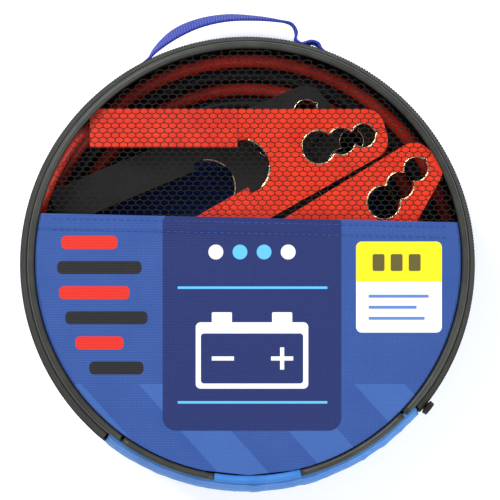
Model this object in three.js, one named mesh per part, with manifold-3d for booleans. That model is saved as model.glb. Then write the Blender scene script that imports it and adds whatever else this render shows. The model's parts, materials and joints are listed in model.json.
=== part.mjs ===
// Jumper cable set stored in its round zip bag, lying on its back with the window up.
// Millimetres, +Z up. The origin is the centre of the back face; the carry handle is toward +Y.
import * as THREE from 'three';
import { mergeVertices } from 'three/addons/utils/BufferGeometryUtils.js';
import Module from 'manifold-3d';

const wasm = await Module();
wasm.setup();

const DEG = Math.PI / 180;
const GAP = 0.3;

// Bag
const wallRadius = 139.6;
const fabric = 1.4;
const sheet = 1.2;
const pipingRadius = 2.2;
const zipLevel = 66.15;
const toothHeight = 1.2;
const toothDepth = 2.0;
const tapeWidth = 6.4;
const rimRise = 10.5;
const frontInset = 6.6;
const frontShiftX = 1.0;
const frontShiftY = 2.5;
const ringStep = 6;
const windowRightAngle = 10.8;
const windowLeftAngle = 166.7;
const zipRightAngle = -39.8;
const zipLeftAngle = 230;
const patchFrom = 261;
const patchTo = 284;

// Cables, wound as a pair: red outside black, two pair columns of three layers
const cableDiameter = 8.6;
const columnPitch = 9.0;
const layerPitch = 8.8;
const layers = 3;
const outerColumn = 129.5;

// Clamps
const steel = 1.1;
const outerHalfDepth = 10.2;
const innerHalfDepth = outerHalfDepth - steel - GAP;
const sleeveWall = 0.8;
const clampHalfDepth = outerHalfDepth + GAP + sleeveWall;
const clampHalfWidth = 29.7;
const clampTaper = 0.263;
const handleEnd = -107.8;
const jawTip = 63.5;
const handleSteelWidth = 19;
const sleeveWidth = 23.2;
const sleeveStart = -21;
const bossRadius = 10.7;
const throatRadius = 17.5;
const pinRadius = 3.0;
const springRadius = 7.5;
const springWire = 2.2;
const jawHoles = [[21, 10.4], [35.5, 8.5], [49.5, 7.5]];

// Carry strap: [angle, height above the gusset], and its tilt at each point
const strapWidth = 25;
const strapThickness = 1.8;
const strapLevel = 34;
const strapRoute = [
  [129, 0, 0], [123, 0, 0], [117, 0.9, 0], [112.5, 6.5, 10], [107, 11.5, 17], [101, 14.3, 16],
  [94.5, 15.2, 13], [88, 14.6, 9], [83, 14.2, 6], [79.6, 13.4, 3], [78, 8.6, 0], [77.8, 4.0, 0],
  [76.2, 2.0, 0], [74, 5.0, 0], [72.2, 5.0, 0], [70.6, 1.8, 0], [67, 0, 0], [59, 0, 0], [51, 0, 0],
];

// Levels that follow from the sizes above
const pipingGap = pipingRadius * 2 + 0.4;
const wallBottom = pipingGap + GAP;
const zipHalf = toothHeight + GAP / 2;
const baseTapeTop = zipLevel - zipHalf - GAP;
const baseTapeBottom = baseTapeTop - tapeWidth;
const wallTop = baseTapeBottom - GAP;
const lidTapeBottom = zipLevel + zipHalf + GAP;
const pipingLevel = zipLevel + rimRise;
const lidTapeTop = pipingLevel - pipingRadius - GAP;
const frontRadius = wallRadius - frontInset;
const panelRadius = frontRadius - pipingRadius - 0.5;
const panelLevel = pipingLevel - sheet / 2;
const coilBottom = fabric + GAP;
const coilHeight = cableDiameter + layerPitch * (layers - 1);
const coilTop = coilBottom + coilHeight;
const blackLevel = coilTop + GAP + clampHalfDepth;
const redLevel = blackLevel + 2 * clampHalfDepth + GAP;

const colours = {
  trim: 0x2c2d29,
  piping: 0x4c514c,
  gusset: 0x4d86cb,
  panel: 0x365ba2,
  back: 0x12235a,
  mesh: 0x1a1b1b,
  strap: 0x3445a1,
  red: 0xe8281c,
  black: 0x161718,
  steel: 0xb9b39c,
};

function material(colour, roughness, metalness = 0) {
  return new THREE.MeshStandardMaterial({ color: colour, roughness, metalness });
}

const fabricTrim = material(colours.trim, 0.8);
const fabricPiping = material(colours.piping, 0.5);
const fabricGusset = material(colours.gusset, 0.6);
const fabricPanel = material(colours.panel, 0.55);
const fabricBack = material(colours.back, 0.75);
const netBlack = material(colours.mesh, 0.7);
const webbing = material(colours.strap, 0.75);
const redPvc = material(colours.red, 0.4);
const blackPvc = material(colours.black, 0.4);
const redPaint = material(colours.red, 0.35, 0.2);
const blackPaint = material(colours.black, 0.35, 0.2);
const bareSteel = material(colours.steel, 0.3, 1);

// Closed solids

function loft(rings, closed) {
  const size = rings[0].length;
  const count = rings.length;
  const positions = rings.flatMap((ring) => ring.flatMap((point) => [point.x, point.y, point.z]));
  const index = [];
  const spans = closed ? count : count - 1;
  for (let i = 0; i < spans; i++) {
    const here = i * size;
    const next = ((i + 1) % count) * size;
    for (let j = 0; j < size; j++) {
      const k = (j + 1) % size;
      index.push(here + j, next + j, next + k, here + j, next + k, here + k);
    }
  }
  if (!closed) {
    const last = (count - 1) * size;
    for (let j = 1; j < size - 1; j++) {
      index.push(0, j, j + 1, last, last + j + 1, last + j);
    }
  }
  const geometry = new THREE.BufferGeometry();
  geometry.setAttribute('position', new THREE.Float32BufferAttribute(positions, 3));
  geometry.setIndex(index);
  return geometry;
}

// The front of the bag sits a little up and right of the back: rings slide over above the zip.
function centreAt(level) {
  const share = THREE.MathUtils.clamp((level - wallTop) / (pipingLevel - wallTop), 0, 1);
  return [frontShiftX * share, frontShiftY * share];
}

// A section of [radius, level] pairs, counter-clockwise, swept about the bag's axis
function band(section, from, to) {
  const closed = to - from >= 360;
  const count = Math.max(3, Math.round((to - from) / ringStep));
  const rings = [];
  for (let i = 0; i < (closed ? count : count + 1); i++) {
    const angle = (from + ((to - from) * i) / count) * DEG;
    rings.push(section.map(([radius, level]) => {
      const [x, y] = centreAt(level);
      return new THREE.Vector3(x + radius * Math.cos(angle), y + radius * Math.sin(angle), level);
    }));
  }
  return loft(rings, closed);
}

function roundSection(radius, level, size, sides) {
  return Array.from({ length: sides }, (_, i) => {
    const turn = ((i + 0.5) / sides) * 2 * Math.PI;
    return [radius + size * Math.cos(turn), level + size * Math.sin(turn)];
  });
}

function boxSection(inner, outer, bottom, top) {
  return [[inner, bottom], [outer, bottom], [outer, top], [inner, top]];
}

function plate(shape, bottom, top, curveSegments = 6) {
  const geometry = new THREE.ExtrudeGeometry(shape, {
    depth: top - bottom, bevelEnabled: false, curveSegments,
  });
  geometry.translate(0, 0, bottom);
  return geometry;
}

function polygon(points) {
  return new THREE.Shape(points.map(([x, y]) => new THREE.Vector2(x, y)));
}

function solid(geometry) {
  const bare = new THREE.BufferGeometry();
  bare.setAttribute('position', geometry.getAttribute('position'));
  if (geometry.index) bare.setIndex(geometry.index);
  const merged = mergeVertices(bare, 1e-4);
  return new wasm.Manifold(new wasm.Mesh({
    numProp: 3,
    vertProperties: new Float32Array(merged.getAttribute('position').array),
    triVerts: new Uint32Array(merged.index.array),
  }));
}

function geometryOf(body) {
  const mesh = body.getMesh();
  const geometry = new THREE.BufferGeometry();
  geometry.setAttribute('position', new THREE.Float32BufferAttribute(mesh.vertProperties, 3));
  geometry.setIndex(Array.from(mesh.triVerts));
  return geometry;
}

const group = new THREE.Group();

function add(parent, name, geometry, finish) {
  const mesh = new THREE.Mesh(geometry, finish);
  mesh.name = name;
  parent.add(mesh);
  return mesh;
}

// The lid folds on the line between the zip's two ends

const zipRight = new THREE.Vector2(Math.cos(zipRightAngle * DEG), Math.sin(zipRightAngle * DEG));
const zipLeft = new THREE.Vector2(Math.cos(zipLeftAngle * DEG), Math.sin(zipLeftAngle * DEG));
const foldDirection = zipRight.clone().sub(zipLeft).normalize();
const foldNormal = new THREE.Vector2(-foldDirection.y, foldDirection.x);
const foldOffset = zipRight.dot(foldNormal) * wallRadius;
const foldTilt = Math.atan2(foldDirection.y, foldDirection.x) / DEG;

// The two angles where a ring of this radius and level crosses the fold line, moved by offset
function foldAngles(radius, level, offset) {
  const [x, y] = centreAt(level);
  const reach = (foldOffset + offset - x * foldNormal.x - y * foldNormal.y) / radius;
  const swing = Math.asin(reach) / DEG;
  return [foldTilt + swing, foldTilt + 180 - swing];
}

function lidBand(section, radius, level) {
  const [right, left] = foldAngles(radius, level, 2 * GAP);
  return band(section, right, left);
}

function arcPoints(from, to) {
  const [x, y] = centreAt(pipingLevel);
  const count = Math.max(1, Math.round((to - from) / ringStep));
  return Array.from({ length: count + 1 }, (_, i) => {
    const angle = (from + ((to - from) * i) / count) * DEG;
    return [x + panelRadius * Math.cos(angle), y + panelRadius * Math.sin(angle)];
  });
}

function addBag() {
  const backRadius = wallRadius - 2 * pipingRadius - GAP;
  const backDisc = new THREE.CylinderGeometry(backRadius, backRadius, fabric, 360 / ringStep);
  backDisc.rotateX(Math.PI / 2);
  backDisc.translate(0, 0, fabric / 2);
  add(group, 'back_panel', backDisc, fabricBack);

  const backPiping = roundSection(wallRadius - pipingRadius, pipingRadius + 0.4, pipingRadius, 6);
  add(group, 'back_piping', band(backPiping, 0, 360), fabricPiping);

  const wallInner = wallRadius - fabric;
  add(group, 'gusset_wall', band(boxSection(wallInner, wallRadius, wallBottom, wallTop), 0, 360),
    fabricGusset);

  const baseTape = boxSection(wallRadius - sheet, wallRadius, baseTapeBottom, baseTapeTop);
  const ends = foldAngles(wallRadius, baseTapeTop, 0);
  add(group, 'zip_tape_base', band(baseTape, ends[0], ends[1]), fabricTrim);

  const toothInner = wallRadius - toothDepth + 0.4;
  const baseTeeth = boxSection(toothInner, toothInner + toothDepth, zipLevel - zipHalf,
    zipLevel - GAP / 2);
  add(group, 'zip_teeth_base', band(baseTeeth, ends[0], ends[1]), fabricTrim);

  const lidTeeth = boxSection(toothInner, toothInner + toothDepth, zipLevel + GAP / 2,
    zipLevel + zipHalf);
  add(group, 'zip_teeth_lid', lidBand(lidTeeth, wallRadius, zipLevel), fabricTrim);

  const tapeTopRadius = frontRadius + pipingRadius;
  const lidTape = [
    [wallRadius - sheet, lidTapeBottom], [wallRadius, lidTapeBottom],
    [tapeTopRadius + sheet, lidTapeTop], [tapeTopRadius, lidTapeTop],
  ];
  add(group, 'zip_tape_lid', lidBand(lidTape, wallRadius, lidTapeBottom), fabricTrim);

  const lowGusset = [
    [wallInner, baseTapeBottom], [wallRadius, baseTapeBottom],
    [tapeTopRadius + fabric, lidTapeTop], [tapeTopRadius, lidTapeTop],
  ];
  add(group, 'hinge_gusset', band(lowGusset, ends[1] + 0.6, 360 + ends[0] - 0.6), fabricGusset);

  const piping = roundSection(frontRadius, pipingLevel, pipingRadius, 6);
  const fixedEnds = foldAngles(frontRadius, pipingLevel, -2 * GAP);
  const patchGap = 0.4;
  add(group, 'front_piping_lid', lidBand(piping, frontRadius, pipingLevel), fabricPiping);
  add(group, 'front_piping_left', band(piping, fixedEnds[1], patchFrom - patchGap), fabricPiping);
  add(group, 'front_piping_right', band(piping, patchTo + patchGap, 360 + fixedEnds[0]),
    fabricPiping);
  const patch = roundSection(frontRadius, pipingLevel, pipingRadius + 0.2, 6);
  add(group, 'hinge_patch', band(patch, patchFrom, patchTo), fabricGusset);
}

function addFront() {
  const bottom = panelLevel;
  const top = panelLevel + sheet;
  const seam = (GAP / panelRadius) / DEG;
  const lid = foldAngles(panelRadius, pipingLevel, 2 * GAP);
  const fixed = foldAngles(panelRadius, pipingLevel, -2 * GAP);
  const windowShape = polygon(arcPoints(windowRightAngle + seam, windowLeftAngle - seam));
  const panelShape = polygon([
    ...arcPoints(lid[0], windowRightAngle), ...arcPoints(windowLeftAngle, lid[1]),
  ]);
  const lowerShape = polygon(arcPoints(fixed[1], 360 + fixed[0]));
  add(group, 'mesh_window', plate(windowShape, bottom, top), netBlack);
  add(group, 'front_panel', plate(panelShape, bottom, top), fabricPanel);
  add(group, 'front_panel_lower', plate(lowerShape, bottom, top), fabricPanel);
}

function addSlider() {
  const holder = new THREE.Group();
  holder.rotation.z = (zipRightAngle + 1.8) * DEG;
  holder.position.set(0, 0, zipLevel);
  group.add(holder);
  const bodyLength = 9;
  const bodyHeight = 8.5;
  const bodyThickness = 3;
  const inner = wallRadius + 0.4 + GAP;
  const body = new THREE.CylinderGeometry(bodyHeight / 2, bodyLength / 2, bodyThickness, 8);
  body.rotateZ(-Math.PI / 2);
  body.translate(inner + bodyThickness / 2, 0, 0);
  add(holder, 'zip_slider', body, fabricTrim);
  const pullLength = 24;
  const pullWidth = 5.5;
  const pullThickness = 1.4;
  const pull = new THREE.CylinderGeometry(pullWidth / 2, pullWidth / 2, pullThickness, 8);
  pull.rotateZ(Math.PI / 2);
  pull.scale(1, 1, pullLength / pullWidth);
  pull.translate(inner + pullThickness / 2, 0, -bodyHeight / 2 - GAP - pullLength / 2);
  add(holder, 'zip_puller', pull, fabricTrim);
}

function addHandle() {
  const laid = wallRadius + GAP + 0.15 + strapThickness / 2;
  const routes = strapRoute.map(([angle, rise, tilt]) => new THREE.Vector3(
    (laid + rise) * Math.cos(angle * DEG), (laid + rise) * Math.sin(angle * DEG), tilt,
  ));
  const curve = new THREE.CatmullRomCurve3(routes, false, 'centripetal');
  const stations = 46;
  const rings = [];
  for (let i = 0; i <= stations; i++) {
    const point = curve.getPoint(i / stations);
    const along = curve.getTangent(i / stations);
    const normal = new THREE.Vector3(along.y, -along.x, 0).normalize();
    const tilt = point.z * DEG;
    const across = new THREE.Vector3(0, 0, Math.cos(tilt));
    across.addScaledVector(normal, Math.sin(tilt));
    const thick = new THREE.Vector3().crossVectors(across, along.setZ(0).normalize()).normalize();
    const centre = new THREE.Vector3(point.x, point.y, strapLevel);
    const corner = (side, face) => centre.clone()
      .addScaledVector(across, (side * strapWidth) / 2)
      .addScaledVector(thick, (face * strapThickness) / 2);
    rings.push([corner(-1, -1), corner(1, -1), corner(1, 1), corner(-1, 1)]);
  }
  add(group, 'carry_handle', loft(rings, false), webbing);
}

// Cables: four turned rings for the wound lengths and four short leads into the clamps

function addCoil() {
  const names = ['coil_red_outer', 'coil_black_outer', 'coil_red_inner', 'coil_black_inner'];
  const half = cableDiameter / 2;
  const corner = half * 0.45;
  names.forEach((name, column) => {
    const radius = outerColumn - column * columnPitch;
    const section = [
      [radius - half + corner, coilBottom], [radius + half - corner, coilBottom],
      [radius + half, coilBottom + corner], [radius + half, coilTop - corner],
      [radius + half - corner, coilTop], [radius - half + corner, coilTop],
      [radius - half, coilTop - corner], [radius - half, coilBottom + corner],
    ];
    const points = section.map(([r, z]) => new THREE.Vector2(r, z));
    points.push(points[0].clone());
    const ring = new THREE.LatheGeometry(points, 48);
    ring.rotateX(Math.PI / 2);
    add(group, name, ring, name.includes('red') ? redPvc : blackPvc);
  });
}

function polar(radius, angle, level) {
  return new THREE.Vector3(radius * Math.cos(angle * DEG), radius * Math.sin(angle * DEG), level);
}

function addLead(name, points, finish) {
  const curve = new THREE.CatmullRomCurve3(points, false, 'centripetal');
  const section = new THREE.Shape();
  section.absarc(0, 0, cableDiameter / 2 - 0.1, 0, 2 * Math.PI);
  const tube = new THREE.ExtrudeGeometry(section, {
    steps: Math.round(curve.getLength() / (2.2 * cableDiameter)), curveSegments: 4,
    extrudePath: curve,
  });
  add(group, name, tube, finish);
}

function addLeads() {
  const top = coilTop + cableDiameter / 2 + GAP;
  const redOuter = outerColumn;
  const redInner = outerColumn - 2 * columnPitch;
  const blackOuter = outerColumn - columnPitch;
  const blackInner = outerColumn - 3 * columnPitch;
  addLead('lead_red_1', [
    new THREE.Vector3(-101.2, 83, redLevel), polar(132.2, 146, redLevel - 0.5),
    polar(132.6, 156, redLevel - 2), polar(132.6, 166, redLevel - 4),
    polar(132, 180, redLevel - 12), polar(131, 200, top + 14), polar(redOuter, 225, top + 4),
    polar(redOuter, 246, top),
  ], redPvc);
  addLead('lead_black_1', [
    new THREE.Vector3(-124.8, 27.5, blackLevel), polar(124, 175, blackLevel - 0.5),
    polar(blackOuter, 186, blackLevel - 3), polar(blackOuter, 210, top + 2),
    polar(blackOuter, 232, top),
  ], blackPvc);
  addLead('lead_red_2', [
    polar(redInner, 203, top), polar(redInner, 218, top + 6), polar(redInner, 236, redLevel - 10),
    polar(redInner, 250, redLevel - 1), polar(redInner - 1, 261, redLevel),
    new THREE.Vector3(8, -104.5, redLevel), new THREE.Vector3(24, -92.4, redLevel),
  ], redPvc);
  addLead('lead_black_2', [
    polar(blackInner, 200, top), polar(blackInner, 230, top + 1), polar(blackInner, 255, blackLevel - 2),
    polar(blackInner + 1, 272, blackLevel), new THREE.Vector3(26, -108, blackLevel),
    new THREE.Vector3(41.5, -105.2, blackLevel), new THREE.Vector3(47.6, -94.2, blackLevel),
  ], blackPvc);
}

// Clamps: two pressed channels on a pin, with sleeved handles

function edgeAt(x) {
  return clampHalfWidth - clampTaper * x;
}

const inward = new THREE.Vector2(-clampTaper, -1).normalize();

function offsetPoint(x, distance) {
  return [x + inward.x * distance, edgeAt(x) + inward.y * distance];
}

function halfShape() {
  const inset = sleeveWall + GAP;
  const tipCurve = 54;
  const [throatX, throatY] = [-20.2, 16.4];
  const throatCentre = throatX - Math.sqrt(throatRadius ** 2 - throatY ** 2) - 1.7;
  const shape = new THREE.Shape();
  shape.moveTo(jawTip, GAP / 2);
  shape.lineTo(jawTip, 4);
  shape.quadraticCurveTo(jawTip - 0.4, 13.2, tipCurve, edgeAt(tipCurve));
  shape.lineTo(sleeveStart, edgeAt(sleeveStart));
  shape.lineTo(...offsetPoint(sleeveStart, inset));
  shape.lineTo(...offsetPoint(handleEnd, inset));
  shape.lineTo(...offsetPoint(handleEnd, handleSteelWidth));
  shape.lineTo(...offsetPoint(sleeveStart - 6, handleSteelWidth));
  const start = Math.atan2(throatY, throatX - throatCentre);
  shape.absarc(throatCentre, 0, throatRadius, start, 8 * DEG, true);
  shape.absarc(0, 0, bossRadius, 172 * DEG, 360 * DEG, false);
  shape.lineTo(bossRadius, GAP / 2);
  return shape;
}

function prism(points, bottom, top) {
  return solid(plate(polygon(points), bottom, top));
}

function rod(radius, x, halfDepth, sides = 14) {
  const cylinder = new THREE.CylinderGeometry(radius, radius, 2 * halfDepth, sides);
  cylinder.rotateX(Math.PI / 2);
  cylinder.translate(x, 0, 0);
  return solid(cylinder);
}

function jawHole(halfDepth) {
  const hole = jawHoles.map(([x, radius]) => rod(radius, x, halfDepth));
  const point = prism([[50, -5.6], [59, 0], [50, 5.6]], -halfDepth, halfDepth);
  return hole.reduce((total, next) => total.add(next)).add(point);
}

function clampHalf(depth) {
  const outline = halfShape();
  const whole = solid(plate(outline, -depth, depth, 5));
  const room = [
    [jawTip - steel, -bossRadius - 3], [jawTip - steel, 4],
    [jawTip - steel - 2.5, 9.5], offsetPoint(54, steel),
    offsetPoint(sleeveStart, steel + sleeveWall + GAP),
    offsetPoint(handleEnd - 5, steel + sleeveWall + GAP), offsetPoint(handleEnd - 5, 90),
  ];
  const cavity = prism(room, -depth + steel, depth - steel);
  const cut = whole.subtract(cavity).subtract(jawHole(depth + 1));
  return cut.subtract(rod(pinRadius + GAP, 0, depth - steel / 2 > innerHalfDepth ? 1 : depth + 1));
}

function sleeve(depth) {
  const wall = sleeveWall;
  const outerDepth = depth + GAP + wall;
  const end = handleEnd - 1;
  const skin = prism([
    offsetPoint(sleeveStart - GAP, 0), offsetPoint(end, 0),
    offsetPoint(end, sleeveWidth), offsetPoint(sleeveStart - GAP, sleeveWidth),
  ], -outerDepth, outerDepth);
  const room = prism([
    offsetPoint(sleeveStart + 5, wall), offsetPoint(end - 5, wall),
    offsetPoint(end - 5, sleeveWidth + 5), offsetPoint(sleeveStart + 5, sleeveWidth + 5),
  ], -depth - GAP, depth + GAP);
  return skin.subtract(room);
}

function mirrored(body) {
  return body.mirror([0, 1, 0]);
}

function addClamp(name, x, y, level, axisAngle, finish, grip) {
  const holder = new THREE.Group();
  holder.position.set(x, y, level);
  holder.rotation.z = axisAngle * DEG;
  group.add(holder);
  add(holder, `${name}_upper`, geometryOf(clampHalf(innerHalfDepth)), finish);
  add(holder, `${name}_lower`, geometryOf(mirrored(clampHalf(outerHalfDepth))), finish);
  add(holder, `${name}_grip_upper`, geometryOf(sleeve(innerHalfDepth)), grip);
  add(holder, `${name}_grip_lower`, geometryOf(mirrored(sleeve(outerHalfDepth))), grip);
  add(holder, `${name}_pin`, geometryOf(rod(pinRadius, 0, outerHalfDepth - steel - GAP)), bareSteel);
  const coilHalf = innerHalfDepth - steel - GAP;
  const spring = rod(springRadius, 0, coilHalf).subtract(rod(springRadius - springWire, 0, coilHalf + 1));
  add(holder, `${name}_spring`, geometryOf(spring), bareSteel);
}

addBag();
addFront();
addSlider();
addHandle();
addCoil();
addLeads();
addClamp('red_1', 23.9, 67.8, redLevel, 14.7, redPaint, redPvc);
addClamp('red_2', 69.6, 24.1, redLevel, 46, redPaint, redPvc);
addClamp('black_1', -2.2, 65.9, blackLevel, 37.6, blackPaint, blackPvc);
addClamp('black_2', 46.4, 31.9, blackLevel, 67.6, blackPaint, blackPvc);

export default group;
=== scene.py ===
"""Looks of the jumper cable set in its round zip bag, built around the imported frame. Metres, +Z up."""

import json
import math
import random

import bpy
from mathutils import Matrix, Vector


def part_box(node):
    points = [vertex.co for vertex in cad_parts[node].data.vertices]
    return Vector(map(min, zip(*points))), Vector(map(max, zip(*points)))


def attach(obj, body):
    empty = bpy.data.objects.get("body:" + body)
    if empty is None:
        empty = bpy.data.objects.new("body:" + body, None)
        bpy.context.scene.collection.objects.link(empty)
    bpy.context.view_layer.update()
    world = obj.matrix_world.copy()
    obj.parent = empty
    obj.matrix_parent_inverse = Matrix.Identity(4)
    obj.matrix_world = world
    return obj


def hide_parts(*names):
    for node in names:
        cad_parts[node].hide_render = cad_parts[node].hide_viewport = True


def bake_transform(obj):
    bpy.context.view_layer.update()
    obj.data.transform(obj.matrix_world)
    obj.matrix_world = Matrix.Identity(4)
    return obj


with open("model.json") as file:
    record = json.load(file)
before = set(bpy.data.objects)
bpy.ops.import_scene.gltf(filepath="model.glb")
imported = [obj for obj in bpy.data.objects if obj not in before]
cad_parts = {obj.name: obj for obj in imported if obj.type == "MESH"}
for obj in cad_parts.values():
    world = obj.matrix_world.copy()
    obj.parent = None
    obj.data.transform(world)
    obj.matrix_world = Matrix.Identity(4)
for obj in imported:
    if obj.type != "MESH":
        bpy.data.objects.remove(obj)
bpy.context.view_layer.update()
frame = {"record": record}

MM = 0.001

# Bag, as in the frame
WALL_RADIUS = 139.6 * MM
FABRIC = 1.4 * MM
SHEET = 1.2 * MM
PIPING = 2.2 * MM
FRONT_INSET = 6.6 * MM
FRONT_SHIFT = (1.0 * MM, 2.5 * MM)
ZIP_RIGHT = -39.8
ZIP_LEFT = 230.0
WINDOW_RIGHT = 10.8
WINDOW_LEFT = 166.7
PATCH = (261.0, 284.0)
TOOTH_PITCH = 1.85 * MM

# Levels read from the frame

def levels(node):
    low_corner, high_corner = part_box(node)
    return low_corner.z, high_corner.z


def middle(node):
    return sum(levels(node)) / 2


WALL_BOTTOM, WALL_TOP = levels("gusset_wall")
BASE_TAPE = levels("zip_tape_base")
LID_TAPE = levels("zip_tape_lid")
PANEL = levels("front_panel")
PIPING_LEVEL = middle("front_piping_lid")
COIL = levels("coil_red_outer")
FRONT_RADIUS = WALL_RADIUS - FRONT_INSET
PANEL_RADIUS = FRONT_RADIUS - PIPING - 0.5 * MM
GAP = 0.3 * MM

# Cables
CABLE = 8.6 * MM
COLUMN_PITCH = 9.0 * MM
LAYER_PITCH = 8.8 * MM
OUTER_COLUMN = 129.5 * MM

# Clamp levels
RED_LEVEL = middle("red_1_lower")
BLACK_LEVEL = middle("black_1_lower")

# Photograph
PHOTO_SCALE = 0.6143 * MM
PHOTO_CENTRE = (246.6, 266.2)
PHOTO_SIZE = 500
FOCUS_LEVEL = 70 * MM
CAMERA_RISE = 1.6
SENSOR = 36


def photo_point(px, py):
    """The place in the bag's plane that a pixel of the 500x500 photograph shows."""
    return ((px - PHOTO_CENTRE[0]) * PHOTO_SCALE, (PHOTO_CENTRE[1] - py) * PHOTO_SCALE)


# Camera and light

def make_camera():
    data = bpy.data.cameras.new("camera")
    data.sensor_width = SENSOR
    data.lens = SENSOR * CAMERA_RISE / (PHOTO_SIZE * PHOTO_SCALE)
    camera = bpy.data.objects.new("camera", data)
    x, y = photo_point(PHOTO_SIZE / 2, PHOTO_SIZE / 2)
    camera.location = (x, y, FOCUS_LEVEL + CAMERA_RISE)
    bpy.context.collection.objects.link(camera)
    bpy.context.scene.camera = camera


def make_light(name, place, size, energy):
    data = bpy.data.lights.new(name, "AREA")
    data.size = size
    data.energy = energy
    light = bpy.data.objects.new(name, data)
    light.location = place
    light.rotation_euler = (-Vector(place)).to_track_quat("-Z", "Y").to_euler()
    bpy.context.collection.objects.link(light)


def make_world():
    world = bpy.data.worlds.new("world")
    world.use_nodes = True
    background = world.node_tree.nodes["Background"]
    background.inputs["Color"].default_value = (1, 1, 1, 1)
    background.inputs["Strength"].default_value = 0.45
    bpy.context.scene.world = world
    bpy.context.scene.view_settings.view_transform = "Standard"


# Node helpers

class Nodes:
    """A material's nodes, with short calls for maths on its coordinates."""

    def __init__(self, name, roughness=0.6, metallic=0.0):
        self.material = bpy.data.materials.new(name)
        self.material.use_nodes = True
        self.tree = self.material.node_tree
        self.shader = self.tree.nodes["Principled BSDF"]
        self.shader.inputs["Roughness"].default_value = roughness
        self.shader.inputs["Metallic"].default_value = metallic
        self.place = self.tree.nodes.new("ShaderNodeTexCoord").outputs["Object"]

    def new(self, kind, **inputs):
        node = self.tree.nodes.new(kind)
        for key, value in inputs.items():
            self.put(node.inputs[key.replace("_", " ")], value)
        return node

    def put(self, socket, value):
        if isinstance(value, bpy.types.NodeSocket):
            self.tree.links.new(value, socket)
        else:
            socket.default_value = value

    def math(self, operation, a, b=0.0):
        node = self.tree.nodes.new("ShaderNodeMath")
        node.operation = operation
        for socket, value in zip(node.inputs, (a, b)):
            self.put(socket, value)
        return node.outputs[0]

    def xyz(self):
        parts = self.new("ShaderNodeSeparateXYZ", Vector=self.place)
        return parts.outputs[0], parts.outputs[1], parts.outputs[2]

    def noise(self, scale, detail=3.0):
        return self.new("ShaderNodeTexNoise", Scale=scale, Detail=detail, Vector=self.place).outputs[0]

    def mix(self, share, low, high):
        node = self.tree.nodes.new("ShaderNodeMix")
        node.data_type = "RGBA"
        self.put(node.inputs[0], share)
        self.put(node.inputs[6], low)
        self.put(node.inputs[7], high)
        return node.outputs[2]

    def ramp(self, value, low, high):
        node = self.tree.nodes.new("ShaderNodeMapRange")
        self.put(node.inputs[0], value)
        node.inputs[1].default_value = low
        node.inputs[2].default_value = high
        return node.outputs[0]

    def bump(self, height, strength, distance):
        node = self.new("ShaderNodeBump", Strength=strength, Distance=distance, Height=height)
        self.put(self.shader.inputs["Normal"], node.outputs[0])

    def colour(self, value):
        self.put(self.shader.inputs["Base Color"], value)

    def wave(self, coordinate, pitch):
        return self.math("SINE", self.math("MULTIPLY", coordinate, 2 * math.pi / pitch))

    def weave(self, pitch):
        x, y, z = self.xyz()
        return self.math("MULTIPLY", self.wave(self.math("ADD", x, z), pitch), self.wave(y, pitch))

    def length(self, dx, dy):
        squares = [self.math("MULTIPLY", side, side) for side in (dx, dy)]
        return self.math("SQRT", self.math("ADD", *squares))

    def rounded_box(self, centre, half, corner):
        """Distance outside a rounded rectangle, negative inside."""
        x, y, _ = self.xyz()
        dx = self.math("ABSOLUTE", self.math("SUBTRACT", x, centre[0]))
        dy = self.math("ABSOLUTE", self.math("SUBTRACT", y, centre[1]))
        qx = self.math("SUBTRACT", dx, half[0] - corner)
        qy = self.math("SUBTRACT", dy, half[1] - corner)
        far = self.length(self.math("MAXIMUM", qx, 0.0), self.math("MAXIMUM", qy, 0.0))
        near = self.math("MINIMUM", self.math("MAXIMUM", qx, qy), 0.0)
        return self.math("SUBTRACT", self.math("ADD", far, near), corner)

    def disc(self, centre, radius):
        """Distance outside a disc, negative inside."""
        x, y, _ = self.xyz()
        far = self.length(self.math("SUBTRACT", x, centre[0]), self.math("SUBTRACT", y, centre[1]))
        return self.math("SUBTRACT", far, radius)

    def paint(self, base, distance, tone):
        """The tone laid over the base wherever the distance is below zero."""
        return self.mix(self.ramp(distance, PRINT_EDGE, -PRINT_EDGE), base, tone)

    def block(self, edges, corner):
        """Distance to a rounded block, given by its left, top, right and bottom edges in the photo."""
        left, top, right, bottom = edges
        low = photo_point(left, bottom)
        high = photo_point(right, top)
        centre = ((low[0] + high[0]) / 2, (low[1] + high[1]) / 2)
        half = ((high[0] - low[0]) / 2, (high[1] - low[1]) / 2)
        return self.rounded_box(centre, half, corner)

    def gloss(self, **values):
        for key, value in values.items():
            self.shader.inputs[key.replace("_", " ")].default_value = value


FLOOR_HALF = 3.0


def make_floor():
    mesh = bpy.data.meshes.new("floor")
    corners = [(x * FLOOR_HALF, y * FLOOR_HALF, 0) for x, y in ((-1, -1), (1, -1), (1, 1), (-1, 1))]
    mesh.from_pydata(corners, [], [(0, 1, 2, 3)])
    floor = bpy.data.objects.new("floor", mesh)
    bpy.context.collection.objects.link(floor)
    look = Nodes("floor", 0.9)
    look.gloss(Base_Color=(0.9, 0.9, 0.9, 1), Emission_Color=(1, 1, 1, 1), Emission_Strength=0.25)
    floor.data.materials.append(look.material)


# Materials

def fabric(name, colour, dark, roughness, pitch, crumple=0.0):
    nodes = Nodes(name, roughness)
    weave = nodes.weave(pitch)
    mottled = nodes.noise(60.0)
    share = nodes.math("MULTIPLY", nodes.ramp(weave, -1.0, 1.0), nodes.ramp(mottled, 0.2, 0.7))
    nodes.colour(nodes.mix(share, dark, colour))
    height = nodes.math("ADD", weave, nodes.math("MULTIPLY", mottled, 2.0))
    folds = nodes.math("MULTIPLY", nodes.noise(38.0, 4.0), crumple)
    nodes.bump(nodes.math("ADD", height, folds), 0.35, 0.2 * MM)
    nodes.gloss(Sheen_Weight=0.05, Specular_IOR_Level=0.18)
    return nodes.material


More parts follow.
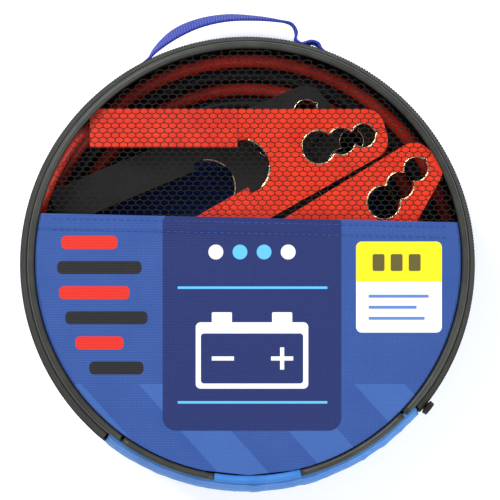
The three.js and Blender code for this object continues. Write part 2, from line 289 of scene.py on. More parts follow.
def plastic(name, colour, dark, roughness):
    nodes = Nodes(name, roughness)
    mottled = nodes.noise(90.0)
    nodes.colour(nodes.mix(nodes.ramp(mottled, 0.25, 0.7), dark, colour))
    nodes.bump(nodes.noise(900.0), 0.12, 0.15 * MM)
    nodes.gloss(Specular_IOR_Level=0.3, Coat_Weight=0.12, Coat_Roughness=0.2)
    return nodes.material


def metal(name, colour, dark, roughness):
    nodes = Nodes(name, roughness, 1.0)
    brushed = nodes.noise(700.0, 4.0)
    nodes.colour(nodes.mix(nodes.ramp(brushed, 0.3, 0.7), dark, colour))
    nodes.bump(brushed, 0.15, 0.05 * MM)
    return nodes.material


RIBS_PER_RADIAN = 560.0
RIB_PITCH = 1.6 * MM


def ribbed_webbing():
    nodes = Nodes("webbing", 0.7)
    x, y, z = nodes.xyz()
    angle = nodes.math("ARCTAN2", x, y)
    across = nodes.math("SINE", nodes.math("MULTIPLY", angle, RIBS_PER_RADIAN))
    along = nodes.wave(z, RIB_PITCH)
    height = nodes.math("ADD", across, nodes.math("MULTIPLY", along, 0.35))
    share = nodes.ramp(height, -1.2, 1.2)
    nodes.colour(nodes.mix(share, (0.012, 0.018, 0.16, 1), (0.055, 0.085, 0.5, 1)))
    nodes.bump(height, 0.6, 0.4 * MM)
    nodes.gloss(Specular_IOR_Level=0.2)
    return nodes.material


# Printed front panel: generic blocks, rules and pictograms, placed in the photograph's pixels

PANEL_DARK = (0.018, 0.058, 0.24, 1)
PANEL_BLUE = (0.036, 0.098, 0.33, 1)
STRIPE_BLUE = (0.085, 0.22, 0.6, 1)
NAVY = (0.009, 0.02, 0.115, 1)
CYAN = (0.1, 0.45, 0.8, 1)
WHITE = (0.82, 0.84, 0.86, 1)
YELLOW = (0.85, 0.68, 0.008, 1)
LINE_BLUE = (0.1, 0.2, 0.5, 1)
MARK_BROWN = (0.1, 0.09, 0.02, 1)
PRINT_RED = (0.6, 0.02, 0.01, 1)
PRINT_BLACK = (0.01, 0.01, 0.012, 1)

PRINT_EDGE = 0.15 * MM
THREAD_PITCH = 1.55 * MM
STRIPE_PITCH = 66 * MM
STRIPE_SLANT = 0.9
STRIPE_TOP = -72 * MM
STRIPE_SHARE = 0.22

LABEL = (163, 211, 341, 430)
RULE_ENDS = (178, 327)
RULE_ROWS = (287.5, 401.7)
RULE_HALF = 1.2
DOT_START = (216, 252)
DOT_STEP = 24
DOT_RADIUS = 4.5 * MM
CASE = (196, 322, 308, 388)
CASE_INSIDE = (201, 333, 303, 383)
POSTS = ((212, 312, 232, 325), (272, 312, 292, 325))
SIGNS = ((212, 356, 234, 360), (271, 356, 293, 360), (280, 347, 284, 369))
TICKET = (355.7, 241.7, 441, 332.2)
TICKET_SPLIT = 281.5
TICKET_LINES = ((368, 428, 296), (368, 416, 307), (368, 424, 318))
LINE_HALF = 1.6
MARK_COLUMNS = (372, 390, 408)
MARK_WIDTH = 12
MARK_ROWS = (254, 271)
BAR_ENDS = ((62, 118), (58, 142), (60, 130), (66, 148), (76, 124), (90, 144))
BAR_TOP = 236
BAR_STEP = 25
BAR_HEIGHT = 13


def print_stripes(nodes, colour, x, y):
    slant = nodes.math("ADD", x, nodes.math("MULTIPLY", y, STRIPE_SLANT))
    stripe = nodes.math("GREATER_THAN", nodes.wave(slant, STRIPE_PITCH), 0.1)
    low_area = nodes.math("LESS_THAN", y, STRIPE_TOP)
    share = nodes.math("MULTIPLY", nodes.math("MULTIPLY", stripe, low_area), STRIPE_SHARE)
    return nodes.mix(share, colour, STRIPE_BLUE)


def print_label(nodes, colour):
    """The darker block with its rules, a battery pictogram and a row of dots."""
    colour = nodes.paint(colour, nodes.block(LABEL, 8 * MM), NAVY)
    for row in RULE_ROWS:
        rule = (RULE_ENDS[0], row - RULE_HALF, RULE_ENDS[1], row + RULE_HALF)
        colour = nodes.paint(colour, nodes.block(rule, 0.3 * MM), CYAN)
    colour = nodes.paint(colour, nodes.block(CASE, 3 * MM), WHITE)
    colour = nodes.paint(colour, nodes.block(CASE_INSIDE, 2 * MM), NAVY)
    for post in POSTS:
        colour = nodes.paint(colour, nodes.block(post, 0.8 * MM), WHITE)
    for sign in SIGNS:
        colour = nodes.paint(colour, nodes.block(sign, 0.2 * MM), WHITE)
    for index, tone in enumerate((WHITE, CYAN, CYAN, WHITE)):
        place = photo_point(DOT_START[0] + DOT_STEP * index, DOT_START[1])
        colour = nodes.paint(colour, nodes.disc(place, DOT_RADIUS), tone)
    return colour


def print_ticket(nodes, colour, y):
    """The white block with a yellow head, three marks and three lines."""
    box = nodes.block(TICKET, 3.5 * MM)
    colour = nodes.paint(colour, box, WHITE)
    above_split = nodes.math("SUBTRACT", photo_point(0, TICKET_SPLIT)[1], y)
    colour = nodes.paint(colour, nodes.math("MAXIMUM", box, above_split), YELLOW)
    for left, right, row in TICKET_LINES:
        line = (left, row - LINE_HALF, right, row + LINE_HALF)
        colour = nodes.paint(colour, nodes.block(line, 0.6 * MM), LINE_BLUE)
    for left in MARK_COLUMNS:
        mark = (left, MARK_ROWS[0], left + MARK_WIDTH, MARK_ROWS[1])
        colour = nodes.paint(colour, nodes.block(mark, 1.2 * MM), MARK_BROWN)
    return colour


def print_bars(nodes, colour):
    """Rounded bars in the two cable colours on the left."""
    for index, (left, right) in enumerate(BAR_ENDS):
        top = BAR_TOP + BAR_STEP * index
        bar = nodes.block((left, top, right, top + BAR_HEIGHT), 3 * MM)
        colour = nodes.paint(colour, bar, (PRINT_RED, PRINT_BLACK)[index % 2])
    return colour


def printed_panel():
    """Blue coated fabric with the generic print."""
    nodes = Nodes("panel_fabric", 0.5)
    nodes.place = nodes.tree.nodes.new("ShaderNodeUVMap").outputs[0]
    x, y, _ = nodes.xyz()
    mottled = nodes.noise(40.0)
    grid = nodes.math("MAXIMUM", nodes.wave(x, THREAD_PITCH), nodes.wave(y, THREAD_PITCH))
    share = nodes.math("MULTIPLY", nodes.ramp(grid, -0.2, 1.2), nodes.ramp(mottled, 0.1, 0.9))
    colour = print_stripes(nodes, nodes.mix(share, PANEL_DARK, PANEL_BLUE), x, y)
    colour = print_label(nodes, colour)
    colour = print_ticket(nodes, colour, y)
    nodes.colour(print_bars(nodes, colour))
    height = nodes.math("ADD", grid, nodes.math("MULTIPLY", nodes.noise(25.0), 3.0))
    nodes.bump(height, 0.3, 0.25 * MM)
    nodes.gloss(Specular_IOR_Level=0.25, Coat_Weight=0.06, Coat_Roughness=0.4)
    return nodes.material


MATERIALS = {
    "trim_fabric": fabric("trim_fabric", (0.035, 0.036, 0.029, 1), (0.01, 0.01, 0.008, 1), 0.75,
                          0.9 * MM),
    "piping": plastic("piping", (0.034, 0.037, 0.032, 1), (0.018, 0.02, 0.017, 1), 0.5),
    "gusset_fabric": fabric("gusset_fabric", (0.07, 0.28, 0.72, 1), (0.03, 0.15, 0.48, 1), 0.5,
                            1.3 * MM, 45.0),
    "panel_fabric": printed_panel(),
    "back_fabric": fabric("back_fabric", (0.045, 0.12, 0.5, 1), (0.025, 0.075, 0.36, 1), 0.8, 1.4 * MM),
    "net": fabric("net", (0.012, 0.012, 0.009, 1), (0.005, 0.005, 0.004, 1), 0.75, 0.7 * MM),
    "webbing": ribbed_webbing(),
    "red_pvc": plastic("red_pvc", (0.88, 0.045, 0.015, 1), (0.68, 0.022, 0.01, 1), 0.42),
    "black_pvc": plastic("black_pvc", (0.016, 0.016, 0.018, 1), (0.007, 0.007, 0.008, 1), 0.36),
    "red_paint": plastic("red_paint", (0.92, 0.045, 0.012, 1), (0.74, 0.026, 0.008, 1), 0.36),
    "black_paint": plastic("black_paint", (0.018, 0.018, 0.019, 1), (0.008, 0.008, 0.009, 1), 0.34),
    "bare_steel": metal("bare_steel", (0.85, 0.76, 0.5, 1), (0.55, 0.45, 0.25, 1), 0.25),
}


# Mesh helpers

def piece(name, points, faces, slot, body, nodes=(), smooth=False):
    mesh = bpy.data.meshes.new(name)
    mesh.from_pydata([tuple(point) for point in points], [], faces)
    mesh.update()
    mesh.polygons.foreach_set("use_smooth", [smooth] * len(mesh.polygons))
    made = bpy.data.objects.new(name, mesh)
    bpy.context.collection.objects.link(made)
    made.data.materials.append(MATERIALS[slot])
    if body:
        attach(made, body)
    if nodes:
        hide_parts(*nodes)
    return made


def loft(rings, closed):
    """Vertices and faces of a closed solid through rings of points."""
    size = len(rings[0])
    count = len(rings)
    points = [point for ring in rings for point in ring]
    faces = []
    for i in range(count if closed else count - 1):
        here = i * size
        after = ((i + 1) % count) * size
        for j in range(size):
            k = (j + 1) % size
            faces.append((here + j, after + j, after + k, here + k))
    if not closed:
        last = (count - 1) * size
        faces.append(tuple(range(size)))
        faces.append(tuple(last + j for j in reversed(range(size))))
    return points, faces


def add_faces(faces, first, pattern):
    """The pattern's faces, with their corners counted from the first vertex."""
    faces.extend(tuple(first + corner for corner in face) for face in pattern)


def centre_at(level):
    """The middle of the bag at a level: the front lies shifted on the wall."""
    share = (level - WALL_TOP) / (PIPING_LEVEL - WALL_TOP)
    share = min(max(share, 0.0), 1.0)
    return FRONT_SHIFT[0] * share, FRONT_SHIFT[1] * share


def turned(radius, angle, level):
    x, y = centre_at(level)
    turn = math.radians(angle)
    return Vector((x + radius * math.cos(turn), y + radius * math.sin(turn), level))


def band(section, start, end, step=2.0, ripple=None):
    """A section of (radius, level) pairs swept about the bag's axis."""
    closed = end - start >= 360
    count = max(3, round((end - start) / step))
    rings = []
    for i in range(count if closed else count + 1):
        angle = start + (end - start) * i / count
        push = ripple(angle) if ripple else 0.0
        rings.append([turned(radius + push, angle, level) for radius, level in section])
    return loft(rings, closed)


def round_section(radius, level, size, sides=10):
    turns = [(i + 0.5) / sides * 2 * math.pi for i in range(sides)]
    return [(radius + size * math.cos(turn), level + size * math.sin(turn)) for turn in turns]


def box_section(inner, outer, bottom, top):
    return [(inner, bottom), (outer, bottom), (outer, top), (inner, top)]


FOLD_TILT = (ZIP_RIGHT + ZIP_LEFT - 180) / 2
FOLD_NORMAL = (-math.sin(math.radians(FOLD_TILT)), math.cos(math.radians(FOLD_TILT)))
FOLD_OFFSET = WALL_RADIUS * math.sin(math.radians(ZIP_RIGHT - FOLD_TILT))


def fold_angles(radius, level, offset):
    """The two angles at which a circle meets the fold line, moved by the offset."""
    x, y = centre_at(level)
    reach = (FOLD_OFFSET + offset - x * FOLD_NORMAL[0] - y * FOLD_NORMAL[1]) / radius
    swing = math.degrees(math.asin(reach))
    return FOLD_TILT + swing, FOLD_TILT + 180 - swing


# Bag

TOP_RADIUS = FRONT_RADIUS + PIPING
BASE_ENDS = fold_angles(WALL_RADIUS, BASE_TAPE[1], 0)
LID_ENDS = fold_angles(WALL_RADIUS, LID_TAPE[0], 2 * GAP)
WALL_STEPS = 9
WALL_DIP = 0.9 * MM
WRINKLE = 0.35
WRINKLE_COUNT = 200
GUSSET_CLEARANCE = 0.6
# How far the sewn hinge stands out from the wall at each level
GUSSET_BOW = [
    (0.0, BASE_TAPE[0]), (0.4 * MM, 62 * MM), (-1.2 * MM, 67 * MM), (-3.2 * MM, 71 * MM),
    (TOP_RADIUS + FABRIC - WALL_RADIUS, LID_TAPE[1]),
]


def make_back_and_wall():
    back = round_section(WALL_RADIUS - PIPING, PIPING + 0.4 * MM, PIPING)
    piece("back_piping_cord", *band(back, 0, 360), "piping", "root", ["back_piping"], True)

    inner = WALL_RADIUS - FABRIC - 0.3 * MM
    rise = [WALL_BOTTOM + (WALL_TOP - WALL_BOTTOM) * i / WALL_STEPS for i in range(WALL_STEPS + 1)]
    outer_side = [(WALL_RADIUS - WALL_DIP * math.sin(3 * math.pi * i / WALL_STEPS) ** 2, level)
                  for i, level in enumerate(rise)]
    section = [(inner, WALL_BOTTOM)] + outer_side + [(inner, WALL_TOP)]
    points, faces = band(section, 0, 360)
    piece("gusset_fabric_wall", points, faces, "gusset_fabric", "root", ["gusset_wall"], True)


def make_tapes():
    tape = box_section(WALL_RADIUS - SHEET, WALL_RADIUS, *BASE_TAPE)
    piece("zip_tape_low", *band(tape, *BASE_ENDS), "trim_fabric", "root", ["zip_tape_base"])
    lid_tape = [
        (WALL_RADIUS - SHEET, LID_TAPE[0]), (WALL_RADIUS, LID_TAPE[0]),
        (TOP_RADIUS + SHEET, LID_TAPE[1]), (TOP_RADIUS - 2 * MM, LID_TAPE[1] + 0.9 * MM),
        (TOP_RADIUS, LID_TAPE[1] - 0.2 * MM),
    ]
    piece("zip_tape_high", *band(lid_tape, *LID_ENDS), "trim_fabric", "lid", ["zip_tape_lid"])


def make_low_gusset():
    """The sewn hinge: wall fabric that bows out between the ends of the zip, with small wrinkles."""
    start = BASE_ENDS[1] + GUSSET_CLEARANCE
    end = 360 + BASE_ENDS[0] - GUSSET_CLEARANCE
    outer = [(WALL_RADIUS + push, level) for push, level in GUSSET_BOW]
    under = [(radius - FABRIC, level) for radius, level in reversed(outer)]
    under[0] = (TOP_RADIUS - 2.5 * MM, LID_TAPE[1] + 0.5 * MM)
    wrinkles = [random.uniform(-WRINKLE, WRINKLE) * MM for _ in range(WRINKLE_COUNT)]

    def ripple(angle):
        return wrinkles[int(angle / 2) % WRINKLE_COUNT]

    piece("low_gusset", *band(outer + under, start, end, 1.5, ripple), "gusset_fabric", "root",
          ["hinge_gusset"], True)


def make_front_piping():
    cord = round_section(FRONT_RADIUS, PIPING_LEVEL, PIPING)
    lid_cord = fold_angles(FRONT_RADIUS, PIPING_LEVEL, 2 * GAP)
    fixed = fold_angles(FRONT_RADIUS, PIPING_LEVEL, -2 * GAP)
    piece("piping_lid", *band(cord, *lid_cord), "piping", "lid", ["front_piping_lid"], True)
    piece("piping_left", *band(cord, fixed[1], PATCH[0]), "piping", "root",
          ["front_piping_left"], True)
    piece("piping_right", *band(cord, PATCH[1], 360 + fixed[0]), "piping", "root",
          ["front_piping_right"], True)
    patch = round_section(FRONT_RADIUS, PIPING_LEVEL, PIPING + 0.3 * MM)
    piece("patch_fold", *band(patch, *PATCH), "gusset_fabric", "root", ["hinge_patch"], True)


# Zip teeth

TOOTH_INNER = WALL_RADIUS - 1.6 * MM
TOOTH_OUTER = WALL_RADIUS + 0.4 * MM
TOOTH_HEIGHT = 1.5 * MM
TOOTH_HALF_SHARE = 0.32
TOOTH_FACES = ((0, 1, 3, 2), (4, 6, 7, 5), (0, 4, 5, 1), (2, 3, 7, 6), (0, 2, 6, 4), (1, 5, 7, 3))


def make_teeth(name, level, ends, body, node, phase):
    """A row of zip teeth: each a small block that stands out past the tape."""
    step = math.degrees(TOOTH_PITCH / WALL_RADIUS)
    points = []
    faces = []
    for i in range(int((ends[1] - ends[0]) / step)):
        angle = ends[0] + (i + phase) * step
        first = len(points)
        for radius in (TOOTH_INNER, TOOTH_OUTER):
            for turn in (-TOOTH_HALF_SHARE, TOOTH_HALF_SHARE):
                for rise in (-0.5, 0.5):
                    points.append(turned(radius, angle + turn * step, level + rise * TOOTH_HEIGHT))
        add_faces(faces, first, TOOTH_FACES)
    piece(name, points, faces, "trim_fabric", body, [node])


def make_zip():
    make_teeth("teeth_low", middle("zip_teeth_base"), BASE_ENDS, "root", "zip_teeth_base", 0.0)
    make_teeth("teeth_high", middle("zip_teeth_lid"), LID_ENDS, "lid", "zip_teeth_lid", 0.5)


# Window net: hexagonal cells, each strand a thin bar

CELL_WIDTH = 5.0 * MM
CELL_HEIGHT = 2.95 * MM
STRAND = 0.5 * MM
NET_START = -0.2 * PANEL_RADIUS
CELL_CORNERS = ((0, 2 / 3), (0.5, 1 / 3), (0.5, -1 / 3), (0, -2 / 3))
WINDOW_LOW = [turned(PANEL_RADIUS, angle, PIPING_LEVEL) for angle in (WINDOW_LEFT, WINDOW_RIGHT)]
BOX_FACES = ((0, 1, 5, 4), (1, 2, 6, 5), (2, 3, 7, 6), (3, 0, 4, 7), (3, 2, 1, 0), (4, 5, 6, 7))


def inside_window(x, y):
    cx, cy = centre_at(PIPING_LEVEL)
    if math.hypot(x - cx, y - cy) > PANEL_RADIUS:
        return False
    left, right = WINDOW_LOW
    share = (x - left.x) / (right.x - left.x)
    return y > left.y + (right.y - left.y) * share


def net_place(x, y):
    level = PANEL[0] + 0.5 * MM + 0.35 * MM * math.sin(x * 55) * math.cos(y * 48 + 1)
    return Vector((x, y, level))


def add_bar(points, faces, a, b):
    along = (b - a).normalized()
    side = Vector((-along.y, along.x, 0)) * (STRAND / 2)
    up = Vector((0, 0, STRAND * 0.35))
    overlap = along * STRAND * 0.3
    first = len(points)
    for end in (a - overlap, b + overlap):
        points.extend([end - side - up, end + side - up, end + side + up, end - side + up])
    add_faces(faces, first, BOX_FACES)


def make_net():
    points = []
    faces = []
    rows = int(2 * PANEL_RADIUS / CELL_HEIGHT) + 2
    columns = int(2 * PANEL_RADIUS / CELL_WIDTH) + 2
    for j in range(rows):
        for i in range(columns):
            x = -PANEL_RADIUS + (i + (j % 2) / 2) * CELL_WIDTH
            y = NET_START + j * CELL_HEIGHT
            places = [(x + cx * CELL_WIDTH, y + cy * CELL_HEIGHT) for cx, cy in CELL_CORNERS]
            for start, end in zip(places, places[1:]):
                if inside_window(*start) and inside_window(*end):
                    add_bar(points, faces, net_place(*start), net_place(*end))
    piece("window_net", points, faces, "net", "lid", ["mesh_window"])


# Front panel: one sheet of coated fabric from the hem to the lower piping

PANEL_ROWS = 84
PANEL_COLUMNS = 110
PANEL_SINK = 0.35 * MM
HEM_DEPTH = 9 * MM
HEM_RISE = 0.45 * MM
FLAT_RIM = 8 * MM
NO_PRINT = 10.0


def panel_point(share, u):
    """A point of the sheet's outer face: share runs from the bottom to the hem, u from side to side."""
    left, right = WINDOW_LOW
    cx, cy = centre_at(PIPING_LEVEL)
    low = cy - PANEL_RADIUS
    edge_y = left.y + (right.y - left.y) * (u + 1) / 2
    y = low + (edge_y - low) * math.sin(share * math.pi / 2)
    half = math.sqrt(max(PANEL_RADIUS ** 2 - (y - cy) ** 2, 0.0))
    x = cx + half * u
    wave = 0.30 * MM * math.sin(x * 42 + 1.3 * math.sin(y * 30)) * math.sin(y * 36 + x * 12)
    rim_share = min(1.0, (PANEL_RADIUS - math.hypot(x - cx, y - cy)) / FLAT_RIM)
    hem = HEM_RISE if edge_y - y < HEM_DEPTH else 0.0
    return x, y, PANEL[1] - PANEL_SINK + wave * rim_share + hem


def sheet_faces(rows, columns):
    """Faces of a sheet with an outer layer, an inner layer and an edge all round."""
    width = columns + 1
    layer = width * (rows + 1)
    faces = []
    for j in range(rows):
        for i in range(columns):
            a = j * width + i
            b = a + layer
            faces.append((a, a + 1, a + 1 + width, a + width))
            faces.append((b, b + width, b + width + 1, b + 1))
    edge = list(range(width))
    edge += [j * width + columns for j in range(1, rows + 1)]
    edge += [rows * width + i for i in range(columns - 1, -1, -1)]
    edge += [j * width for j in range(rows - 1, 0, -1)]
    for a, b in zip(edge, edge[1:] + edge[:1]):
        faces.append((a, a + layer, b + layer, b))
    return faces


def place_print(panel, points):
    """The print is mapped from the sheet's own points, and the inner side has none."""
    print_map = panel.data.uv_layers.new(name="print")
    inner_side = len(points) // 2
    for loop in panel.data.loops:
        x, y, _ = points[loop.vertex_index]
        shift = NO_PRINT if loop.vertex_index >= inner_side else 0.0
        print_map.data[loop.index].uv = (x + shift, y + shift)


def make_panel():
    outer = [panel_point(j / PANEL_ROWS, -1 + 2 * i / PANEL_COLUMNS)
             for j in range(PANEL_ROWS + 1) for i in range(PANEL_COLUMNS + 1)]
    points = outer + [(x, y, z - SHEET) for x, y, z in outer]
    faces = sheet_faces(PANEL_ROWS, PANEL_COLUMNS)
    panel = piece("panel_sheet", points, faces, "panel_fabric", None,
                  ["front_panel", "front_panel_lower"], True)
    place_print(panel, points)
    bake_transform(panel)


STITCH_COUNT = 62
STITCH_ROWS = (3.0 * MM, 9.6 * MM)
STITCH_FOOT = (1.1, 0.25)
STITCH_TOP = (0.7, 0.12)
STITCH_RISE = 0.35


def make_stitches():
    """Two rows of hem stitches under the window's lower edge."""
    left, right = WINDOW_LOW
    points = []
    faces = []
    for row in STITCH_ROWS:
        level = PANEL[1] + (0.25 if row < HEM_DEPTH else 0.0) * MM
        for i in range(2, STITCH_COUNT - 1):
            place = left.lerp(right, i / STITCH_COUNT)
            first = len(points)
            for (half_x, half_y), rise in ((STITCH_FOOT, 0), (STITCH_TOP, STITCH_RISE)):
                for side, end in ((-1, -1), (1, -1), (1, 1), (-1, 1)):
                    points.append((place.x + side * half_x * MM, place.y - row + end * half_y * MM,
                                   level + rise * MM))
            add_faces(faces, first, BOX_FACES)
    piece("hem_stitches", points, faces, "back_fabric", "lid")


# Carry strap

STRAP_WIDTH = 25 * MM
STRAP_THICK = 1.8 * MM
STRAP_LEVEL = 34 * MM
STRAP_SECTION = ((-1, -0.6), (-0.9, -1), (0.9, -1), (1, -0.6), (1, 0.6), (0.9, 1), (-0.9, 1), (-1, 0.6))
# Angle round the bag, rise off the wall in mm and tilt in degrees
STRAP_ROUTE = [
    (129, 0, 0), (123, 0, 0), (117, 0.9, 0), (112.5, 6.5, 10), (107, 11.5, 17), (101, 14.3, 16),
    (94.5, 15.2, 13), (88, 14.6, 9), (83, 14.2, 6), (79.6, 13.4, 3), (78, 8.6, 0), (77.8, 4.0, 0),
    (76.2, 2.0, 0), (74, 5.0, 0), (72.2, 5.0, 0), (70.6, 1.8, 0), (67, 0, 0), (59, 0, 0), (51, 0, 0),
]


def smooth_route(points, steps):
    """Points on a smooth curve through the given points."""
    places = [Vector(point) for point in points]
    places = [places[0] * 2 - places[1]] + places + [places[-1] * 2 - places[-2]]
    route = []
    for a, b, c, d in zip(places, places[1:], places[2:], places[3:]):
        for i in range(steps):
            t = i / steps
            route.append(0.5 * ((2 * b) + (c - a) * t + (2 * a - 5 * b + 4 * c - d) * t * t
                                + (3 * b - a - 3 * c + d) * t * t * t))
    route.append(places[-2])
    return route


def make_strap():
    laid = WALL_RADIUS + GAP + 0.2 * MM + STRAP_THICK / 2
    corners = []
    for angle, rise, tilt in STRAP_ROUTE:
        turn = math.radians(angle)
        radius = laid + rise * MM
        corners.append((radius * math.cos(turn), radius * math.sin(turn), tilt * MM))
    route = smooth_route(corners, 8)
    rings = []
    for i, place in enumerate(route):
        before = route[max(i - 1, 0)]
        after = route[min(i + 1, len(route) - 1)]
        along = Vector((after.x - before.x, after.y - before.y, 0)).normalized()
        normal = Vector((along.y, -along.x, 0))
        tilt = math.radians(place.z / MM)
        across = Vector((0, 0, math.cos(tilt))) + normal * math.sin(tilt)
        thick = across.cross(along).normalized()
        centre = Vector((place.x, place.y, STRAP_LEVEL))
        rings.append([centre + across * side * STRAP_WIDTH / 2 + thick * face * STRAP_THICK / 2
                      for side, face in STRAP_SECTION])
    piece("strap_webbing", *loft(rings, False), "webbing", "root", ["carry_handle"], True)


# Cables

def polar(radius, angle, level):
    turn = math.radians(angle)
    return Vector((radius * math.cos(turn), radius * math.sin(turn), level))


def ease(share):
    share = min(max(share, 0.0), 1.0)
    return share * share * (3 - 2 * share)


# Angles at which a wound cable changes layer or column
RISE_WINDOW = (183, 203)
CROSS_WINDOW = (203, 228)
FALL_WINDOW = (228, 250)
FALL_TURNS = (1, 2)
CROSS_TURN = 3
RISE_TURNS = (4, 5, 6)
WOUND_STEP = 4


def passed(angle, turn, window):
    """How far the cable has gone through a window of its turn, from 0 to 1."""
    return ease((angle - turn * 360 - window[0]) / (window[1] - window[0]))


def wound(offset):
    """The wound turns: three down the outer column, across, then three up the inner column."""
    outer = OUTER_COLUMN - offset
    inner = outer - 2 * COLUMN_PITCH
    base = COIL[0] + CABLE / 2
    points = []
    last = RISE_TURNS[-1] * 360 + RISE_WINDOW[1]
    for angle in range(FALL_WINDOW[1], last + 1, WOUND_STEP):
        falls = sum(passed(angle, turn, FALL_WINDOW) for turn in FALL_TURNS)
        rises = sum(passed(angle, turn, RISE_WINDOW) for turn in RISE_TURNS)
        across = passed(angle, CROSS_TURN, CROSS_WINDOW)
        level = base + LAYER_PITCH * (2 - falls + rises)
        points.append(polar(outer + (inner - outer) * across, angle, level))
    return points


def tube(route, radius, sides=12):
    rings = []
    normal = Vector((0, 0, 1))
    for i, place in enumerate(route):
        before = route[max(i - 1, 0)]
        after = route[min(i + 1, len(route) - 1)]
        along = (after - before).normalized()
        side = along.cross(normal).normalized()
        up = side.cross(along).normalized()
        ring = []
        for j in range(sides):
            turn = 2 * math.pi * j / sides
            ring.append(place + side * radius * math.cos(turn) + up * radius * math.sin(turn))
        rings.append(ring)
    return loft(rings, False)


def make_cable(name, slot, nodes, lead_in, offset, lead_out):
    turns = wound(offset)
    first = smooth_route([tuple(point) for point in lead_in] + [tuple(turns[0])], 4)
    last = smooth_route([tuple(turns[-1])] + [tuple(point) for point in lead_out], 4)
    route = first[:-1] + turns + last[1:]
    cable = piece(name, *tube(route, CABLE / 2 - 0.05 * MM), slot, "root", nodes, True)


COIL_TOP = COIL[1] + CABLE / 2 + GAP
RED_INNER = OUTER_COLUMN - 2 * COLUMN_PITCH
BLACK_OUTER = OUTER_COLUMN - COLUMN_PITCH
BLACK_INNER = OUTER_COLUMN - 3 * COLUMN_PITCH

# Leads: from the first clamp down to the coil, and from the coil up to the second clamp
RED_FIRST_LEAD = [
    Vector((-0.0885, 0.0845, RED_LEVEL)),
    Vector((-0.1012, 0.083, RED_LEVEL)),
    polar(0.1322, 146, RED_LEVEL - 0.5 * MM),
    polar(0.1326, 156, RED_LEVEL - 2 * MM),
    polar(0.1326, 166, RED_LEVEL - 4 * MM),
    polar(0.132, 180, RED_LEVEL - 12 * MM),
    polar(0.131, 200, COIL_TOP + 14 * MM),
    polar(OUTER_COLUMN, 228, COIL_TOP + 3 * MM),
]
RED_SECOND_LEAD = [
    polar(RED_INNER, 218, COIL_TOP + 6 * MM),
    polar(RED_INNER, 236, RED_LEVEL - 10 * MM),
    polar(RED_INNER, 250, RED_LEVEL - 1 * MM),
    polar(RED_INNER - 1 * MM, 261, RED_LEVEL),
    Vector((0.008, -0.1045, RED_LEVEL)),
    Vector((0.024, -0.0924, RED_LEVEL)),
    Vector((0.029, -0.083, RED_LEVEL)),
]
BLACK_FIRST_LEAD = [
    Vector((-0.1165, 0.0365, BLACK_LEVEL)),
    Vector((-0.1248, 0.0275, BLACK_LEVEL)),
    polar(0.124, 175, BLACK_LEVEL - 0.5 * MM),
    polar(BLACK_OUTER, 186, BLACK_LEVEL - 3 * MM),
    polar(BLACK_OUTER, 210, COIL_TOP + 2 * MM),
    polar(BLACK_OUTER, 230, COIL_TOP),
]
BLACK_SECOND_LEAD = [
    polar(BLACK_INNER, 230, COIL_TOP + 1 * MM),
    polar(BLACK_INNER, 255, BLACK_LEVEL - 2 * MM),
    polar(BLACK_INNER + 1 * MM, 272, BLACK_LEVEL),
    Vector((0.026, -0.108, BLACK_LEVEL)),
    Vector((0.0415, -0.1052, BLACK_LEVEL)),
    Vector((0.0476, -0.0942, BLACK_LEVEL)),
    Vector((0.0475, -0.084, BLACK_LEVEL)),
]


def make_cables():
    make_cable("red_cable", "red_pvc",
               ["coil_red_outer", "coil_red_inner", "lead_red_1", "lead_red_2"],
               RED_FIRST_LEAD, 0.0, RED_SECOND_LEAD)
    make_cable("black_cable", "black_pvc",
               ["coil_black_outer", "coil_black_inner", "lead_black_1", "lead_black_2"],
               BLACK_FIRST_LEAD, COLUMN_PITCH, BLACK_SECOND_LEAD)


# Clamps: bare cut edges round the jaw hole and throat, and the wound springs, in mm along each clamp

# Pivot place, angle of the axis, level and the half that moves
CLAMPS = {
    "red_1": (23.9, 67.8, 14.7, RED_LEVEL, "upper"),
    "red_2": (69.6, 24.1, 46.0, RED_LEVEL, "lower"),
    "black_1": (-2.2, 65.9, 37.6, BLACK_LEVEL, "upper"),
    "black_2": (46.4, 31.9, 67.6, BLACK_LEVEL, "lower"),
}
# Side of the axis, half and depth of the half's face
HALVES = ((1, "upper", 8.8), (-1, "lower", 10.2))
JAW_HOLES = ((21, 10.4), (35.5, 8.5), (49.5, 7.5))
HOLE_START = 10.6
HOLE_LENGTH = 48.4
HOLE_STEPS = 48
HOLE_LEAST = 0.3
POINT_START = 50
POINT_END = 59
POINT_HALF = 5.6
THROAT_CENTRE = -28.1
THROAT_RADIUS = 17.5
THROAT_START = 10
THROAT_SWEEP = 52
THROAT_STEPS = 12
HOLE_RIM = 0.55
THROAT_RIM = 0.8
RIM_SINK = 0.25
SPRING_RADIUS = 6.4
SPRING_WIRE = 0.95 * MM
SPRING_HALF = 5.6
SPRING_TURNS = 5
SPRING_STEPS = 16
SPRING_LEG = ((-24, 22), (-2, 9))


def hole_height(x):
    heights = [math.sqrt(max(radius ** 2 - (x - centre) ** 2, 0.0)) for centre, radius in JAW_HOLES]
    if POINT_START <= x <= POINT_END:
        heights.append(POINT_HALF * (POINT_END - x) / (POINT_END - POINT_START))
    return max(heights + [HOLE_LEAST])


def hole_outline(side):
    places = [HOLE_START + HOLE_LENGTH * i / HOLE_STEPS for i in range(HOLE_STEPS + 1)]
    return [(x, side * hole_height(x)) for x in places]


def throat_outline(side):
    turns = [math.radians(THROAT_START + THROAT_SWEEP * i / THROAT_STEPS)
             for i in range(THROAT_STEPS + 1)]
    return [(THROAT_CENTRE + THROAT_RADIUS * math.cos(turn), side * THROAT_RADIUS * math.sin(turn))
            for turn in turns]


def clamp_place(name, x, y, z):
    px, py, axis, level, _ = CLAMPS[name]
    turn = math.radians(axis)
    return Vector(((px + x * math.cos(turn) - y * math.sin(turn)) * MM,
                   (py + x * math.sin(turn) + y * math.cos(turn)) * MM, level + z * MM))


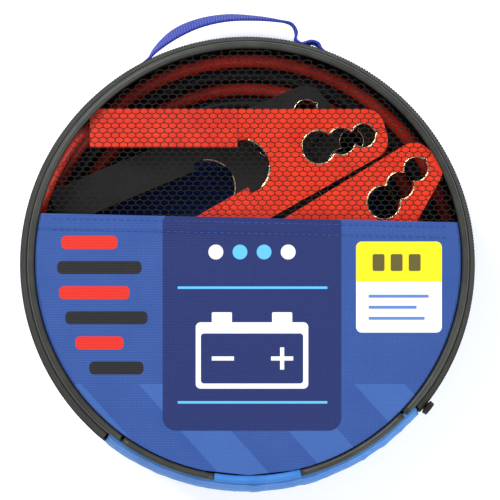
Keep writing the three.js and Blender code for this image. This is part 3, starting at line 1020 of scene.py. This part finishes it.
def make_edges(name):
    moving = CLAMPS[name][4]
    for side, half, depth in HALVES:
        body = name + "_half" if moving == half else "root"
        points = []
        faces = []
        for outline, radius in ((hole_outline(side), HOLE_RIM), (throat_outline(side), THROAT_RIM)):
            route = [clamp_place(name, x, y, depth - RIM_SINK) for x, y in outline]
            made, sides = tube(route, radius * MM, 6)
            add_faces(faces, len(points), sides)
            points.extend(made)
        piece(f"{name}_{half}_edge", points, faces, "bare_steel", body, (), True)


def make_spring(name):
    """A wound wire round the pivot with a leg to each half."""
    count = SPRING_TURNS * SPRING_STEPS
    coil = []
    for i in range(4, count + 1):
        turn = 2 * math.pi * i / SPRING_STEPS
        rise = -SPRING_HALF + 2 * SPRING_HALF * i / count
        x = SPRING_RADIUS * math.cos(turn)
        y = SPRING_RADIUS * math.sin(turn)
        coil.append(clamp_place(name, x, y, rise))
    first_leg = [clamp_place(name, x, -y, -SPRING_HALF) for x, y in SPRING_LEG]
    last_leg = [clamp_place(name, x, y, SPRING_HALF) for x, y in reversed(SPRING_LEG)]
    route = first_leg + coil + last_leg
    piece(name + "_coil", *tube(route, SPRING_WIRE, 8), "bare_steel", "root", [name + "_spring"], True)


def finish_clamps():
    for name in CLAMPS:
        make_edges(name)
        make_spring(name)


EDGE_WIDTHS = {"paint": 0.45 * MM, "pvc": 0.6 * MM, "steel": 0.3 * MM, "fabric": 0.3 * MM}
OTHER_EDGE = 0.3 * MM


def finish_nodes():
    """Each CAD node that stays gets its slot's material and softened edges."""
    slots = {part["node"]: part["material_slot"] for part in frame["record"]["subparts"]}
    for node, slot in slots.items():
        shown = bpy.data.objects.get(node)
        if shown is None or shown.type != "MESH":
            continue
        shown.data.materials.clear()
        shown.data.materials.append(MATERIALS[slot])
        bevel = shown.modifiers.new("soft_edges", "BEVEL")
        widths = [width for key, width in EDGE_WIDTHS.items() if slot.endswith(key)]
        bevel.width = widths[0] if widths else OTHER_EDGE
        bevel.segments = 2
        bevel.limit_method = "ANGLE"
        bevel.angle_limit = math.radians(40)


random.seed(7)
make_camera()
make_world()
make_light("key", (-0.7, 0.8, 1.2), 0.8, 26)
make_light("fill", (0.9, -0.7, 1.0), 1.1, 15)
make_floor()

make_cables()
make_back_and_wall()
make_tapes()
make_low_gusset()
make_front_piping()
make_zip()
make_net()
make_panel()
make_stitches()
make_strap()
finish_clamps()
finish_nodes()
